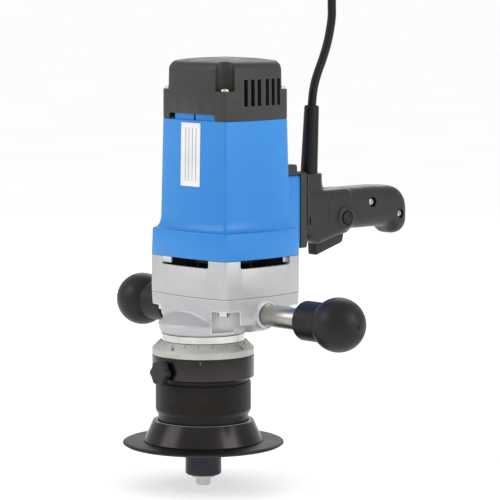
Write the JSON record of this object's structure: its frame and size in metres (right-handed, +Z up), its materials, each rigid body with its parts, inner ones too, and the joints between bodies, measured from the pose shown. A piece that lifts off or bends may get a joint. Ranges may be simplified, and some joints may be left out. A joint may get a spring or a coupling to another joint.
{
  "type": "edge bevelling machine",
  "caption": "Hand-held electric plate bevelling machine: upright motor on a cast gear case, ball grips, rear switch handle, threaded depth carriage with guide plate and pilot roller.",
  "frame": {"origin": "centre of the pilot bolt end face, on the spindle axis", "axes": "+Z up along the spindle towards the motor, -Y out of the rating label, +Y along the switch handle, +X and -X along the ball handles"},
  "size_m": [0.4057, 0.5003, 0.5854],
  "materials": {
    "black_plastic": "fine grained moulded plastic, dark grey",
    "blue_plastic": "satin moulded plastic, mid blue",
    "cast_alloy": "fine blasted and lacquered aluminium casting",
    "black_steel": "black oxide turned steel",
    "bright_steel": "bright turned steel",
    "scale_metal": "matt anodised, engraved in black",
    "rubber": "black soft rubber",
    "label": "printed foil",
    "copper_wire": "enamelled copper",
    "lamination": "stacked steel sheet",
    "carbon": "pressed carbon",
    "cutter_steel": "ground tool steel",
    "insert_coating": "coated carbide",
    "roller_steel": "hardened and blackened steel"
  },
  "bodies": {
    "housing": {"top_cover": "black_plastic", "cover_screw_1": "bright_steel", "cover_screw_2": "bright_steel", "cover_screw_3": "bright_steel", "cover_screw_4": "bright_steel", "motor_housing": "blue_plastic", "rating_label": "label", "upper_gear_case": "cast_alloy", "lower_gear_case": "cast_alloy", "case_screw_1": "bright_steel", "case_screw_2": "bright_steel", "case_screw_3": "bright_steel", "case_screw_4": "bright_steel", "bearing_bridge": "black_plastic", "stator_core": "lamination", "field_coil_1": "copper_wire", "field_coil_2": "copper_wire", "lower_motor_bearing": "bright_steel", "upper_motor_bearing": "bright_steel", "carbon_brush_1": "carbon", "carbon_brush_2": "carbon", "lower_spindle_bearing": "bright_steel", "upper_spindle_bearing": "bright_steel", "neck_sleeve": "bright_steel", "handle_stud_right": "bright_steel", "handle_stud_left": "bright_steel", "ball_grip_right": "rubber", "ball_grip_left": "rubber", "handle_flange": "black_plastic", "handle_shell_right": "black_plastic", "handle_shell_left": "black_plastic", "handle_screw_1": "bright_steel", "handle_screw_2": "bright_steel", "switch_module": "black_plastic", "cord_boot": "rubber", "power_cord": "rubber", "cord_coil": "rubber", "plug": "rubber"},
    "armature": {"armature_shaft": "bright_steel", "armature_core": "lamination", "commutator": "copper_wire", "cooling_fan": "black_plastic"},
    "spindle": {"spindle_gear": "bright_steel", "spindle_shaft": "bright_steel", "cutter_head": "cutter_steel", "cutting_insert_1": "insert_coating", "cutting_insert_2": "insert_coating", "cutting_insert_3": "insert_coating", "pilot_bearing": "bright_steel", "pilot_bolt": "bright_steel"},
    "roller": {"pilot_roller": "roller_steel"},
    "carriage": {"scale_ring": "scale_metal"},
    "depth_sleeve": {"guide_sleeve": "black_steel", "clamp_ring": "black_steel", "knurled_ring": "black_steel", "guide_cone": "black_steel", "guide_plate": "black_steel"},
    "lock_knob": {"lock_knob": "black_plastic"},
    "trigger": {"trigger": "black_plastic"},
    "lock_on": {"lock_on_button": "black_plastic"}
  },
  "joints": [
    {"name": "armature_spin", "type": "hinge", "parent": "housing", "child": "armature", "pos_m": [0, 0.0304, 0.3], "axis": [0, 0, 1], "continuous": true},
    {"name": "spindle_spin", "type": "hinge", "parent": "housing", "child": "spindle", "pos_m": [0, 0, 0.1], "axis": [0, 0, 1], "continuous": true},
    {"name": "roller_spin", "type": "hinge", "parent": "spindle", "child": "roller", "pos_m": [0, 0, 0.026], "axis": [0, 0, 1], "continuous": true},
    {"name": "depth_travel", "type": "slide", "parent": "housing", "child": "carriage", "axis": [0, 0, 1], "range_m": [0, 0.007]},
    {"name": "depth_turn", "type": "hinge", "parent": "carriage", "child": "depth_sleeve", "pos_m": [0, 0, 0.1], "axis": [0, 0, 1], "range_deg": [0, 1260]},
    {"name": "lock_knob_turn", "type": "hinge", "parent": "depth_sleeve", "child": "lock_knob", "pos_m": [0, -0.06, 0.1192], "axis": [0, -1, 0], "range_deg": [0, 360]},
    {"name": "trigger_pull", "type": "hinge", "parent": "housing", "child": "trigger", "pos_m": [0, 0.15, 0.244], "axis": [1, 0, 0], "range_deg": [0, 6], "stiffness_Nm_per_rad": 2, "springref_deg": -2.86},
    {"name": "lock_on_press", "type": "slide", "parent": "housing", "child": "lock_on", "axis": [-1, 0, 0], "range_m": [0, 0.003], "stiffness_N_per_m": 600, "springref_m": -0.001}
  ],
  "couplings": [
    {"joint": "spindle_spin", "follows": "armature_spin", "ratio": -0.2459},
    {"joint": "depth_travel", "follows": "depth_turn", "m_per_rad": 0.00031831}
  ]
}
